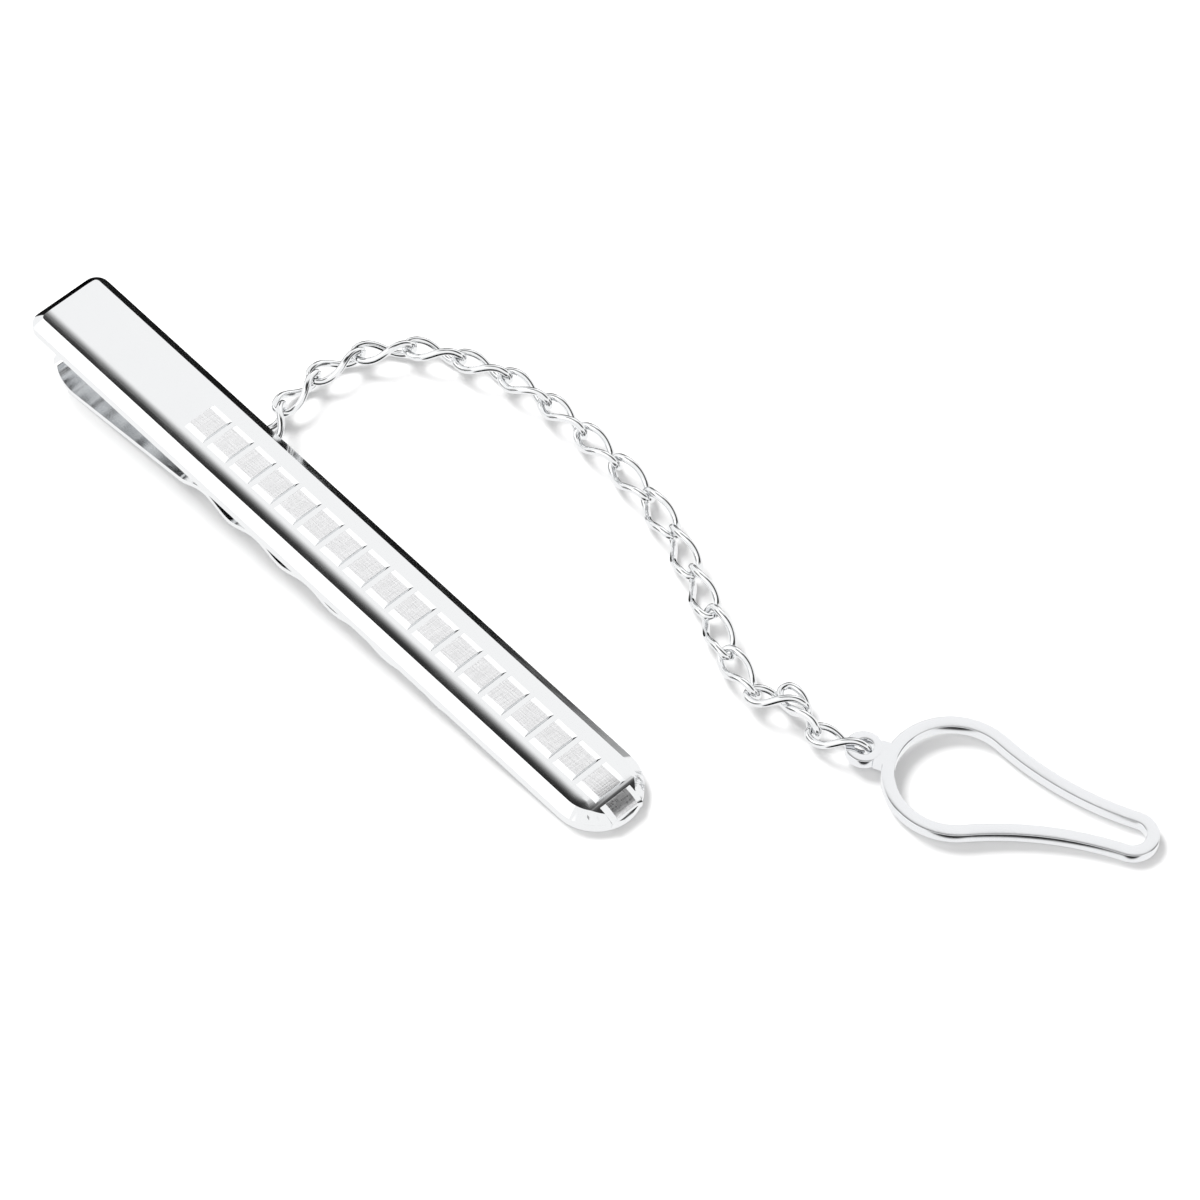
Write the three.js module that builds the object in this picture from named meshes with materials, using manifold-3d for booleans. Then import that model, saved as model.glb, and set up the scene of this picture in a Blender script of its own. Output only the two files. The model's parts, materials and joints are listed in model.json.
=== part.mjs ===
// Tie bar with a spring arm, a twisted-link chain and a button loop, lying on a flat surface.
// Millimetres, +Z up. The bar runs along X with its rounded tip towards +X.
// The origin is under the middle of the whole object, on the surface that it lies on.
import * as THREE from "three";
import { mergeVertices } from "three/addons/utils/BufferGeometryUtils.js";
import Module from "manifold-3d";

const wasm = await Module();
wasm.setup();

// ---------- Sizes: front bar ----------
const barLength = 61;
const barWidth = 7;
const barHeight = 1.58;
const barChamfer = 0.8;
const barCornerRadius = 1.1;
const tipRollLength = 3.2; // last stretch of the bar, whose top rolls down to the tip
const tipRollDrop = 1.1;

// ---------- Sizes: raised strip of satin pads on the bar ----------
const stripStart = 15; // from the square end
const stripEndInset = 0.15; // the strip stops this far short of the tip
const stripBaseWidth = 2.9;
const stripBevel = 0.46;
const stripRise = 0.16;
const padPitch = 2.45;
const padCount = 18;
const padGroove = 0.42;
const firstGroove = 2.6; // from the start of the strip to the middle of the first groove
const stripFootDepth = 1.48; // the strip's foot reaches this far down into the bar
const stripFootUnderNose = 0.2;
const grooveFloor = 0.02; // above the bar's top face

// ---------- Sizes: spring arm under the bar ----------
const armThickness = 0.45;
const armWidth = 5.6;
const armShift = -0.3; // the arm lies a little towards the near long edge of the bar
const armBendInset = 2.45; // bar's square end to the outside of the bend
const armBendRadius = 2.04; // outside radius of the bend
const armRootLength = 5; // flat tab soldered to the underside
const armRunLength = 12; // from the middle of the bend to the first wave
const armRunEndDepth = 1.6; // mean depth of the arm under the bar where the waves start
const waveCount = 6.5;
const waveLength = 5.6;
const waveHeightAtStart = 0.5; // middle line to crest
const waveHeightAtEnd = 0.1;
const armEndDepth = 0.42; // depth of the middle line at the free end
const armConverge = 1.6; // how quickly the arm closes on the bar
const solderFilm = 0.03;
const bendSplitGap = 0.1;

// ---------- Sizes: jump ring that holds the chain ----------
const ringWire = 0.5;
const ringRadius = 1.15; // middle of the wire
const ringHoleRadius = 0.66;
const ringHoleEdge = 0.9; // arm's far edge to the middle of the hole
const ringHolePastCrest = 0.35; // from the arm's first crest towards the tip
const ringDrop = 0.45; // ring's centre below the arm's middle line
const ringHeading = 118; // degrees from +X, the way the ring and the first link point

// ---------- Sizes: chain ----------
const linkWire = 0.55;
const linkLength = 4.53; // middle of the wire, tip to tip
const linkHalfWidth = 0.92; // middle of the wire
const linkTwist = -Math.PI / 2;
const linkTwistFrom = 0.1; // share of the link's length at each end that has no twist
const linkBluntness = 0.72; // under 1 squares the link's ends off
const linkGap = 0.1; // between two wires that hook each other
// How each link lies, in degrees: its heading from +X, its climb, and its roll about its own length.
const linkLies = [
  [118, -5, 0],
  [97, 0, 4],
  [79, 0, 8],
  [54, 0, 8],
  [29, 0, 8],
  [19, 0, 8],
  [6, 0, 8],
  [-1, 0, 10],
  [-4, 0, 26],
  [-8, 0, 46],
  [-16, 0, 66],
  [-23, 0, 84],
  [-25, 0, 84],
  [-26, 0, 55],
  [-14, 0, 29],
  [24.5, 3.6, -4.9],
  [-13.1, -4.5, 1.3],
  [23.3, 0.5, 4.6],
];
const slackLink = 16; // this link has slid back along the one before it
const slackPlace = [1.59, 2.12, 0.24]; // from the start of the link that it has slid along

// ---------- Sizes: button loop ----------
const loopThickness = 0.85;
const loopBigRadius = 5.17;
const loopSmallRadius = 1.95;
const loopRibbon = 0.95;
const loopReach = 13.2; // between the middles of the two ends
const tabRadius = 1.35;
const tabHoleRadius = 0.68;
const tabReach = 6.75; // middle of the big end to the middle of the hole
const tabNeckWidth = 2;
const tabSlack = 0.36; // from the middle of the hole to the last link's wire
const loopHeading = 25.4; // degrees from +X

// ---------- Fineness of the round stretches ----------
const arcSteps = 20;
const wireSides = 6;
const linkSteps = 26;

const silver = { color: 0xd9dbde, roughness: 0.12, metalness: 1 };

const barLeft = -barLength / 2;
const barTip = barLength / 2;
const rad = THREE.MathUtils.degToRad;

// ---------- Helpers ----------
function positionsOnly(geometry) {
  const bare = geometry.clone();
  bare.deleteAttribute("normal");
  bare.deleteAttribute("uv");
  return mergeVertices(bare, 1e-4);
}

function toSolid(geometry) {
  const merged = positionsOnly(geometry);
  return new wasm.Manifold(
    new wasm.Mesh({
      numProp: 3,
      vertProperties: new Float32Array(merged.attributes.position.array),
      triVerts: new Uint32Array(merged.index.array),
    }),
  );
}

function toGeometry(solid) {
  const mesh = solid.getMesh();
  const geometry = new THREE.BufferGeometry();
  geometry.setAttribute("position", new THREE.BufferAttribute(mesh.vertProperties, 3));
  geometry.setIndex(new THREE.BufferAttribute(mesh.triVerts, 1));
  return geometry;
}

function namedMesh(name, geometry, look) {
  const flat = geometry.index ? geometry.toNonIndexed() : geometry.clone();
  flat.computeVertexNormals();
  const mesh = new THREE.Mesh(flat, new THREE.MeshStandardMaterial(look));
  mesh.name = name;
  return mesh;
}

// An outline drawn in X and Z and extruded along Y.
function sideExtrusion(shape, width, middleY) {
  const geometry = new THREE.ExtrudeGeometry(shape, { depth: width, bevelEnabled: false });
  geometry.rotateX(Math.PI / 2);
  geometry.translate(0, middleY + width / 2, 0);
  return geometry;
}

function boxAt(x0, x1, y0, y1, z0, z1) {
  const box = new THREE.BoxGeometry(x1 - x0, y1 - y0, z1 - z0);
  box.translate((x0 + x1) / 2, (y0 + y1) / 2, (z0 + z1) / 2);
  return box;
}

// ---------- Front bar: its top face is Z = 0 in its own frame ----------
function barOutline(inset) {
  const half = barWidth / 2 - inset;
  const left = barLeft + inset;
  const corner = barCornerRadius;
  const tipCentre = barTip - barWidth / 2;
  const shape = new THREE.Shape();
  shape.moveTo(left + corner, -half);
  shape.lineTo(tipCentre, -half);
  shape.absarc(tipCentre, 0, half, -Math.PI / 2, Math.PI / 2, false);
  shape.lineTo(left + corner, half);
  shape.absarc(left + corner, half - corner, corner, Math.PI / 2, Math.PI, false);
  shape.lineTo(left, -half + corner);
  shape.absarc(left + corner, -half + corner, corner, Math.PI, Math.PI * 1.5, false);
  return shape;
}

function barPlate() {
  const chamfered = new THREE.ExtrudeGeometry(barOutline(barChamfer), {
    depth: barHeight,
    bevelEnabled: true,
    bevelSize: barChamfer,
    bevelThickness: barChamfer,
    bevelSegments: 1,
    curveSegments: arcSteps,
  });
  chamfered.translate(0, 0, -barHeight - barChamfer);
  const keep = boxAt(barLeft - 1, barTip + 1, -barWidth, barWidth, -barHeight, 1);
  const plate = toSolid(chamfered).intersect(toSolid(keep));
  return plate.subtract(toSolid(sideExtrusion(rolledAway(), barWidth + 2, 0)));
}

// How far the rolled top has gone down at a place along the bar.
function rollDropAt(x) {
  const share = Math.max(0, (x - barTip + tipRollLength) / tipRollLength);
  return tipRollDrop * (1 - Math.sqrt(1 - share ** 2));
}

// What the rolled tip takes off the top of the bar, seen from the side.
function rolledAway() {
  const rollStart = barTip - tipRollLength;
  const shape = new THREE.Shape();
  shape.moveTo(barTip + 1, -tipRollDrop);
  shape.lineTo(barTip + 1, 1);
  shape.lineTo(rollStart, 1);
  shape.absellipse(rollStart, -tipRollDrop, tipRollLength, tipRollDrop, Math.PI / 2, 0, true, 0);
  return shape;
}

// The strip's side view: a bevel up at its start and a top that rolls down with the bar's tip.
function stripSideView() {
  const start = barLeft + stripStart;
  const end = barTip - stripEndInset;
  const rollStart = barTip - tipRollLength;
  const foot = stripRise - tipRollDrop - stripFootUnderNose;
  const shape = new THREE.Shape();
  shape.moveTo(start, foot);
  shape.lineTo(end, foot);
  shape.absellipse(rollStart, stripRise - tipRollDrop, end - rollStart, tipRollDrop, 0, Math.PI / 2, false, 0);
  shape.lineTo(start + stripBevel, stripRise);
  shape.lineTo(start, 0);
  return shape;
}

// The strip's end view: bevelled sides on an upright foot that is buried in the bar.
function stripEndView() {
  const base = stripBaseWidth / 2;
  const top = base - stripBevel;
  const shape = new THREE.Shape();
  shape.moveTo(-base, -stripFootDepth);
  shape.lineTo(base, -stripFootDepth);
  shape.lineTo(base, 0);
  shape.lineTo(top, stripRise);
  shape.lineTo(-top, stripRise);
  shape.lineTo(-base, 0);
  return shape;
}

function padStrip() {
  const side = toSolid(sideExtrusion(stripSideView(), stripBaseWidth + 1, 0));
  const along = new THREE.ExtrudeGeometry(stripEndView(), { depth: barLength, bevelEnabled: false });
  along.rotateX(Math.PI / 2);
  along.rotateZ(Math.PI / 2);
  along.translate(barLeft, 0, 0);
  let strip = side.intersect(toSolid(along));
  for (let pad = 0; pad < padCount; pad += 1) {
    const x = barLeft + stripStart + firstGroove + pad * padPitch;
    const floor = grooveFloor - rollDropAt(x + padGroove / 2);
    const cut = boxAt(x - padGroove / 2, x + padGroove / 2, -barWidth, barWidth, floor, 1);
    strip = strip.subtract(toSolid(cut));
  }
  return strip;
}

function frontBar() {
  return namedMesh("front_bar", toGeometry(barPlate().add(padStrip())), silver);
}

// ---------- Spring arm: a strip bent back under the bar, in the bar's own frame ----------
const bendMiddleRadius = armBendRadius - armThickness / 2;
const bendCentreX = barLeft + armBendInset + armBendRadius;
const bendCentreZ = -barHeight - solderFilm - armBendRadius;
const waveStartX = bendCentreX + armRunLength;
const armEndX = waveStartX + waveCount * waveLength;

// Height of the waved stretch's middle line. The first wave starts at a trough.
function waveZ(x) {
  const left = (armEndX - x) / (armEndX - waveStartX);
  const depth = armEndDepth + (armRunEndDepth - armEndDepth) * left ** armConverge;
  const height = THREE.MathUtils.lerp(waveHeightAtEnd, waveHeightAtStart, left);
  const phase = ((x - waveStartX) / waveLength) * 2 * Math.PI;
  return -barHeight - solderFilm - depth - height * Math.cos(phase);
}

function bendPoint(angle) {
  const x = bendCentreX + bendMiddleRadius * Math.cos(angle);
  const z = bendCentreZ + bendMiddleRadius * Math.sin(angle);
  return new THREE.Vector2(x, z);
}

// A strip of even thickness along a row of middle points in X and Z.
function stripAlong(points) {
  const over = [];
  const under = [];
  points.forEach((point, i) => {
    const before = points[Math.max(i - 1, 0)];
    const after = points[Math.min(i + 1, points.length - 1)];
    const along = after.clone().sub(before).normalize();
    const half = new THREE.Vector2(-along.y, along.x).multiplyScalar(armThickness / 2);
    over.push(point.clone().add(half));
    under.push(point.clone().sub(half));
  });
  return new THREE.Shape([...under, ...over.reverse()]);
}

const bendSteps = 6; // for each quarter of the bend
const splitAngle = bendSplitGap / 2 / bendMiddleRadius;

function springRoot() {
  const points = [];
  for (let i = 0; i <= bendSteps; i += 1) {
    points.push(bendPoint(Math.PI - splitAngle - (i / bendSteps) * (Math.PI / 2 - splitAngle)));
  }
  points.push(new THREE.Vector2(bendCentreX + armRootLength, bendCentreZ + bendMiddleRadius));
  return namedMesh("spring_root", sideExtrusion(stripAlong(points), armWidth, armShift), silver);
}

function armMiddlePoints() {
  const points = [];
  const runSlope = (waveZ(waveStartX) - (bendCentreZ - bendMiddleRadius)) / armRunLength;
  const bendEnd = Math.PI * 1.5 + Math.atan(runSlope);
  const bendSpan = bendEnd - Math.PI - splitAngle;
  for (let i = 0; i <= bendSteps; i += 1) {
    points.push(bendPoint(Math.PI + splitAngle + (i / bendSteps) * bendSpan));
  }
  const stepsPerWave = 10;
  for (let i = 0; i <= waveCount * stepsPerWave; i += 1) {
    const x = waveStartX + (i / stepsPerWave) * waveLength;
    points.push(new THREE.Vector2(x, waveZ(x)));
  }
  return points;
}

const ringHoleX = waveStartX + waveLength / 2 + ringHolePastCrest;
const ringHoleY = armShift + armWidth / 2 - ringHoleEdge;

function springArm() {
  const strip = toSolid(sideExtrusion(stripAlong(armMiddlePoints()), armWidth, armShift));
  const drill = new THREE.CylinderGeometry(ringHoleRadius, ringHoleRadius, armThickness * 3, arcSteps);
  drill.rotateX(Math.PI / 2);
  drill.translate(ringHoleX, ringHoleY, waveZ(ringHoleX));
  return namedMesh("spring_arm", toGeometry(strip.subtract(toSolid(drill))), silver);
}

// The bar lies on its rounded tip and on the underside of the arm's bend, so it slopes.
function barSlope() {
  const length = barTip - bendCentreX;
  const depth = -barHeight - bendCentreZ;
  return Math.atan2(depth, length) + Math.asin(armBendRadius / Math.hypot(length, depth));
}

function barGroup() {
  const group = new THREE.Group();
  const slope = barSlope();
  group.add(frontBar(), springRoot(), springArm());
  group.rotation.y = slope;
  group.position.z = barTip * Math.sin(slope) + barHeight * Math.cos(slope);
  group.updateMatrixWorld(true);
  return group;
}

// ---------- Wire rings: a torus whose points are moved onto a closed curve ----------
// middle(t) gives the wire's middle, and outward(t) a direction away from the ring's inside.
function wireRing(middle, outward, wire, steps) {
  const torus = new THREE.TorusGeometry(1, 0.25, wireSides, steps);
  const place = torus.attributes.position;
  const point = new THREE.Vector3();
  const step = 1e-3;
  for (let i = 0; i < place.count; i += 1) {
    point.fromBufferAttribute(place, i);
    const turn = Math.atan2(point.y, point.x);
    const across = Math.atan2(point.z, Math.hypot(point.x, point.y) - 1);
    const along = middle(turn + step).sub(middle(turn - step)).normalize();
    const out = outward(turn);
    out.addScaledVector(along, -out.dot(along)).normalize();
    const side = out.clone().cross(along).normalize();
    const moved = middle(turn);
    moved.addScaledVector(out, (wire / 2) * Math.cos(across));
    moved.addScaledVector(side, (wire / 2) * Math.sin(across));
    place.setXYZ(i, moved.x, moved.y, moved.z);
  }
  return positionsOnly(torus);
}

// One link in its own frame: it starts at the origin lying flat and ends upright along X.
function linkTwistAt(x) {
  return linkTwist * THREE.MathUtils.smoothstep(x / linkLength, linkTwistFrom, 1 - linkTwistFrom);
}

function linkMiddle(turn) {
  const x = (linkLength / 2) * (1 - Math.cos(turn));
  const sine = Math.sin(turn);
  const reach = linkHalfWidth * Math.sign(sine) * Math.abs(sine) ** linkBluntness;
  const twist = linkTwistAt(x);
  return new THREE.Vector3(x, reach * Math.cos(twist), reach * Math.sin(twist));
}

function linkOutward(turn) {
  const twist = linkTwistAt((linkLength / 2) * (1 - Math.cos(turn)));
  const sine = Math.sin(turn);
  return new THREE.Vector3(-Math.cos(turn), sine * Math.cos(twist), sine * Math.sin(twist));
}

// Turns a piece that points along X to a heading, a climb and a roll, all in degrees.
function facing(heading, climb, roll) {
  const turn = new THREE.Euler(rad(roll), rad(-climb), rad(heading), "ZYX");
  return new THREE.Quaternion().setFromEuler(turn);
}

// ---------- Jump ring, through the hole on the arm's first crest ----------
function headingVector(heading) {
  return new THREE.Vector3(Math.cos(rad(heading)), Math.sin(rad(heading)), 0);
}

function jumpRing(hole) {
  const out = headingVector(ringHeading);
  const reach = Math.sqrt(ringRadius ** 2 - ringDrop ** 2);
  const centre = hole.clone().addScaledVector(out, reach);
  centre.z -= ringDrop;
  const spoke = (turn) => out.clone().multiplyScalar(Math.cos(turn)).setZ(Math.sin(turn));
  const middle = (turn) => spoke(turn).multiplyScalar(ringRadius).add(centre);
  const mesh = namedMesh("jump_ring", wireRing(middle, spoke, ringWire, linkSteps), silver);
  return { mesh, tip: middle(0) };
}

// ---------- Chain: each link hooks the one before it ----------
function chainLinks(ringTip) {
  const shape = wireRing(linkMiddle, linkOutward, linkWire, linkSteps);
  const links = [];
  let tip = ringTip;
  let hookedWire = ringWire;
  let lastStart = tip;
  linkLies.forEach(([heading, climb, roll], i) => {
    const turn = facing(heading, climb, roll);
    const ahead = new THREE.Vector3(1, 0, 0).applyQuaternion(turn);
    const start = tip.clone().addScaledVector(ahead, -(hookedWire + linkWire) / 2 - linkGap);
    if (i === slackLink) {
      start.copy(lastStart).add(new THREE.Vector3(...slackPlace));
    }
    const name = "chain_link_" + String(i + 1).padStart(2, "0");
    const mesh = namedMesh(name, shape, silver);
    mesh.position.copy(start);
    mesh.quaternion.copy(turn);
    links.push(mesh);
    tip = start.clone().addScaledVector(ahead, linkLength);
    hookedWire = linkWire;
    lastStart = start;
  });
  return { links, tip };
}

// ---------- Button loop: its own frame starts in the middle of the tab's hole ----------
// Two round ends joined by hollow flanks, each an arc that touches both ends.
function loopOutline(path, inset) {
  const big = loopBigRadius - inset;
  const small = loopSmallRadius - inset;
  const span = loopBigRadius - loopSmallRadius;
  const flank = (loopReach ** 2 - span * (loopBigRadius + loopSmallRadius)) / (2 * span) + inset;
  const bigX = tabReach;
  const smallX = tabReach + loopReach;
  const lean = Math.asin(loopReach / (flank + big)); // from the flank's middle to where it touches
  path.absarc(bigX, 0, big, Math.PI / 2 - lean, Math.PI * 1.5 + lean, false);
  path.absarc(smallX, -small - flank, flank, Math.PI / 2 + lean, Math.PI / 2, true);
  path.absarc(smallX, 0, small, -Math.PI / 2, Math.PI / 2, false);
  path.absarc(smallX, small + flank, flank, -Math.PI / 2, -Math.PI / 2 - lean, true);
  return path;
}

function flatSolid(shape) {
  const plate = new THREE.ExtrudeGeometry(shape, {
    depth: loopThickness,
    bevelEnabled: false,
    curveSegments: arcSteps,
  });
  plate.translate(0, 0, -loopThickness / 2);
  return toSolid(plate);
}

function buttonLoop(chainTip) {
  const ringShape = loopOutline(new THREE.Shape(), 0);
  ringShape.holes.push(loopOutline(new THREE.Path(), loopRibbon));
  const tab = new THREE.Shape();
  tab.absarc(0, 0, tabRadius, 0, Math.PI * 2, false);
  const neck = boxAt(
    tabRadius * 0.6,
    tabReach - loopBigRadius + loopRibbon / 2,
    -tabNeckWidth / 2,
    tabNeckWidth / 2,
    -loopThickness / 2,
    loopThickness / 2,
  );
  const drill = new THREE.CylinderGeometry(tabHoleRadius, tabHoleRadius, loopThickness * 3, arcSteps);
  drill.rotateX(Math.PI / 2);
  const solid = flatSolid(ringShape).add(flatSolid(tab)).add(toSolid(neck)).subtract(toSolid(drill));
  const mesh = namedMesh("button_loop", toGeometry(solid), silver);
  const far = tabReach + loopReach + loopSmallRadius;
  const dip = Math.asin((chainTip.z - loopThickness / 2) / far);
  mesh.quaternion.copy(facing(loopHeading, -THREE.MathUtils.radToDeg(dip), 0));
  const lastHeading = linkLies[linkLies.length - 1][0];
  mesh.position.copy(chainTip).addScaledVector(headingVector(lastHeading), -tabSlack);
  return mesh;
}

// ---------- The whole object, centred over the surface that it lies on ----------
function tieBar() {
  const bar = barGroup();
  const hole = new THREE.Vector3(ringHoleX, ringHoleY, waveZ(ringHoleX)).applyMatrix4(bar.matrixWorld);
  const ring = jumpRing(hole);
  const chain = chainLinks(ring.tip);
  const whole = new THREE.Group();
  whole.add(bar, ring.mesh, ...chain.links, buttonLoop(chain.tip));
  const box = new THREE.Box3().setFromObject(whole, true);
  const middle = box.getCenter(new THREE.Vector3());
  whole.position.set(-middle.x, -middle.y, -box.min.z);
  return whole;
}

export default tieBar();
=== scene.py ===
# %% [markdown]
# # A tie bar with a chain and a button loop
# The object is small polished metalwork: a stamped bar, a bent spring strip behind it, a chain of
# twisted wire links and a flat loop that goes over a shirt button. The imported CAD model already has
# every piece in its place, but its round parts are facets. This lesson loads it as a fixed frame
# and lays smooth pieces over it.

# %% Load the frame
import json
import math

import bmesh
import bpy
from mathutils import Matrix, Vector


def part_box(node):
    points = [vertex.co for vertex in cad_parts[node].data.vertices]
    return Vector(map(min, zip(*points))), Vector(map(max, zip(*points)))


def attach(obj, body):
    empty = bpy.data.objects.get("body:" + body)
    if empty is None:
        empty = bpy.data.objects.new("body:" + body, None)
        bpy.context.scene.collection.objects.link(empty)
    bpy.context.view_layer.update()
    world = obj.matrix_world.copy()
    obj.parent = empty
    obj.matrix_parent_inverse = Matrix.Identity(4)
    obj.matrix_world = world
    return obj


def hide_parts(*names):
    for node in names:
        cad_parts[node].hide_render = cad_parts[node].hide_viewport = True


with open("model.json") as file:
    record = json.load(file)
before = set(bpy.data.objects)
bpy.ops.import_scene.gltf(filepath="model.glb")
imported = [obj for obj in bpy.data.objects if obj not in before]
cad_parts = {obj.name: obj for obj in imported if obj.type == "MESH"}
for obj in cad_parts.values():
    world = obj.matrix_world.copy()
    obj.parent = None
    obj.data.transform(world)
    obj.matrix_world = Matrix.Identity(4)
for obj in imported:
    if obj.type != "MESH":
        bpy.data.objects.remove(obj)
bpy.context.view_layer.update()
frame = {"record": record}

MM = 0.001

# %% [markdown]
# ## Colours and nodes
# Colours are written as the sRGB hex values that a paint program shows. Blender's shaders work in
# linear light, so one function converts them. Another small function adds a shader node, sets its
# values and links its inputs, which keeps each finish below short enough to read.

# %% Colour and node helpers
def linear(hex_colour):
    """An sRGB hex colour as linear RGBA."""
    channels = [int(hex_colour[i : i + 2], 16) / 255 for i in (1, 3, 5)]
    return [c / 12.92 if c <= 0.04045 else ((c + 0.055) / 1.055) ** 2.4 for c in channels] + [1.0]


def add_node(tree, kind, settings=None, links=None):
    """Adds a node. Settings are its properties or unlinked inputs; links join outputs to inputs."""
    node = tree.nodes.new(kind)
    for key, value in (settings or {}).items():
        if isinstance(key, str) and hasattr(node, key):
            setattr(node, key, value)
        else:
            node.inputs[key].default_value = value
    for socket, output in (links or {}).items():
        tree.links.new(output, node.inputs[socket])
    return node


def new_finish(name, colour, roughness):
    """A metal with a plain colour and roughness, with its node tree and its shader."""
    material = bpy.data.materials.new(name)
    material.use_nodes = True
    tree = material.node_tree
    shader = tree.nodes["Principled BSDF"]
    shader.inputs["Base Color"].default_value = linear(colour)
    shader.inputs["Metallic"].default_value = 1.0
    shader.inputs["Roughness"].default_value = roughness
    material.diffuse_color = linear(colour)
    return material, tree, shader


print("linear mid grey:", round(linear("#808080")[0], 3))

# %% [markdown]
# ## Polished plate
# The bar, the chain and the loop are base metal with a bright rhodium plate. Buffing leaves it
# almost a mirror, with hairline marks that only show as a slightly wider highlight, and the plate
# is never perfectly flat. Two noise patterns do this: a stretched one for the buffing marks and a
# broad one for handling haze.

# %% Polished plate
MARK_STRETCH = 0.08  # under 1 draws the buffing marks out along X
HAZE_MM = 4.0


def buffed_plate(name, colour, smoothest, dullest, mark_mm, ripple_mm):
    """Bright plate. mark_mm is the spacing of its buffing marks, ripple_mm their height."""
    material, tree, shader = new_finish(name, colour, smoothest)
    place = add_node(tree, "ShaderNodeTexCoord").outputs["Object"]
    along_x = add_node(
        tree, "ShaderNodeMapping", {"Scale": (MARK_STRETCH, 1.0, 1.0)}, {"Vector": place}
    )
    marks = add_node(
        tree,
        "ShaderNodeTexNoise",
        {"Scale": 1 / (mark_mm * MM), "Detail": 3.0, "Roughness": 0.6},
        {"Vector": along_x.outputs["Vector"]},
    )
    haze = add_node(
        tree, "ShaderNodeTexNoise", {"Scale": 1 / (HAZE_MM * MM), "Detail": 2.0}, {"Vector": place}
    )
    both = add_node(
        tree,
        "ShaderNodeMath",
        {"operation": "MULTIPLY"},
        {0: marks.outputs["Fac"], 1: haze.outputs["Fac"]},
    )
    spread = add_node(
        tree,
        "ShaderNodeMapRange",
        {"From Min": 0.12, "From Max": 0.4, "To Min": smoothest, "To Max": dullest},
        {"Value": both.outputs["Value"]},
    )
    tree.links.new(spread.outputs["Result"], shader.inputs["Roughness"])
    bump = add_node(
        tree,
        "ShaderNodeBump",
        {"Strength": 1.0, "Distance": ripple_mm * MM},
        {"Height": marks.outputs["Fac"]},
    )
    tree.links.new(bump.outputs["Normal"], shader.inputs["Normal"])
    return material


bar_finish = buffed_plate("rhodium plate, buffed flat", "#eeeff0", 0.05, 0.12, 0.12, 0.00015)
chain_finish = buffed_plate("rhodium plate on drawn wire", "#eeeff0", 0.04, 0.10, 0.15, 0.0001)
loop_finish = buffed_plate("rhodium plate on stamped sheet", "#ecedef", 0.10, 0.20, 0.10, 0.0004)
spring_finish = buffed_plate("plated spring strip", "#f0f1f2", 0.10, 0.18, 0.12, 0.0004)
print("plated finishes: 4")

# %% [markdown]
# ## Brushed pads
# The tops of the small pads were rubbed with fine grit one way and then the other, which gives them
# a soft satin look beside the polished edges. Such lines are about 0.06 mm apart, which is fine
# enough to vanish, so they are drawn nearly twice as coarse to show at this size.

# %% Brushed finish
GRIT_MM = 0.11
SCRATCH_MM = 0.009  # height of the lines
STROKES = (2, 88)  # the two ways of rubbing, in degrees from X
STROKE_STRETCH = 14.0


def brushed_pad():
    """Satin plate: two sets of long thin scratches that cross."""
    material, tree, shader = new_finish("rhodium plate, brushed", "#fafafb", 0.3)
    place = add_node(tree, "ShaderNodeTexCoord").outputs["Object"]
    lines = []
    for stroke in STROKES:
        turned = add_node(
            tree,
            "ShaderNodeMapping",
            {
                "vector_type": "TEXTURE",
                "Rotation": (0.0, 0.0, math.radians(stroke)),
                "Scale": (STROKE_STRETCH, 1.0, 1.0),
            },
            {"Vector": place},
        )
        noise = add_node(
            tree,
            "ShaderNodeTexNoise",
            {"Scale": 1 / (GRIT_MM * MM), "Detail": 2.0},
            {"Vector": turned.outputs["Vector"]},
        )
        lines.append(noise.outputs["Fac"])
    crossed = add_node(tree, "ShaderNodeMath", {"operation": "ADD"}, {0: lines[0], 1: lines[1]})
    spread = add_node(
        tree,
        "ShaderNodeMapRange",
        {"From Min": 0.7, "From Max": 1.3, "To Min": 0.24, "To Max": 0.38},
        {"Value": crossed.outputs["Value"]},
    )
    tree.links.new(spread.outputs["Result"], shader.inputs["Roughness"])
    bump = add_node(
        tree,
        "ShaderNodeBump",
        {"Strength": 1.0, "Distance": SCRATCH_MM * MM},
        {"Height": crossed.outputs["Value"]},
    )
    tree.links.new(bump.outputs["Normal"], shader.inputs["Normal"])
    return material


brushed_finish = brushed_pad()
print("brushed finish:", brushed_finish.name)

# %% [markdown]
# ## From a bmesh to a finished piece
# Every piece is shaped in millimetres in its own easy frame, then turned and moved to its place in
# the mesh itself, so that its object stays at the origin. The helper also says which body the piece
# moves with, which CAD nodes it stands for and which material slot it takes. The small helpers
# after it soften a piece's edges, measure boxes and put several shapes together.

# %% Finish a piece
SMOOTH_UNDER = 22  # degrees between two faces that still shade as one surface
BEVEL_OVER = 25  # degrees between two faces whose edge is softened


def finish_piece(
    name, shape, place, body, materials, stands_for=(), smooth_under=SMOOTH_UNDER
):
    """Turns a bmesh in millimetres into a piece in metres. place is a matrix in millimetres."""
    bmesh.ops.recalc_face_normals(shape, faces=shape.faces)
    bmesh.ops.transform(shape, matrix=Matrix.Scale(MM, 4) @ place, verts=shape.verts)
    mesh = bpy.data.meshes.new(name)
    shape.to_mesh(mesh)
    shape.free()
    mesh.shade_smooth()
    mesh.set_sharp_from_angle(angle=math.radians(smooth_under))
    for material in materials:
        mesh.materials.append(material)
    piece = bpy.data.objects.new(name, mesh)
    bpy.context.scene.collection.objects.link(piece)
    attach(piece, body)
    if stands_for:
        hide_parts(*stands_for)
    return piece


def soften_edges(piece, width_mm, segments=2):
    """A small round on every hard edge, as buffing leaves."""
    soft = piece.modifiers.new("buffed edges", "BEVEL")
    soft.width = width_mm * MM
    soft.segments = segments
    soft.limit_method = "ANGLE"
    soft.angle_limit = math.radians(BEVEL_OVER)
    soft.harden_normals = True


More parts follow.
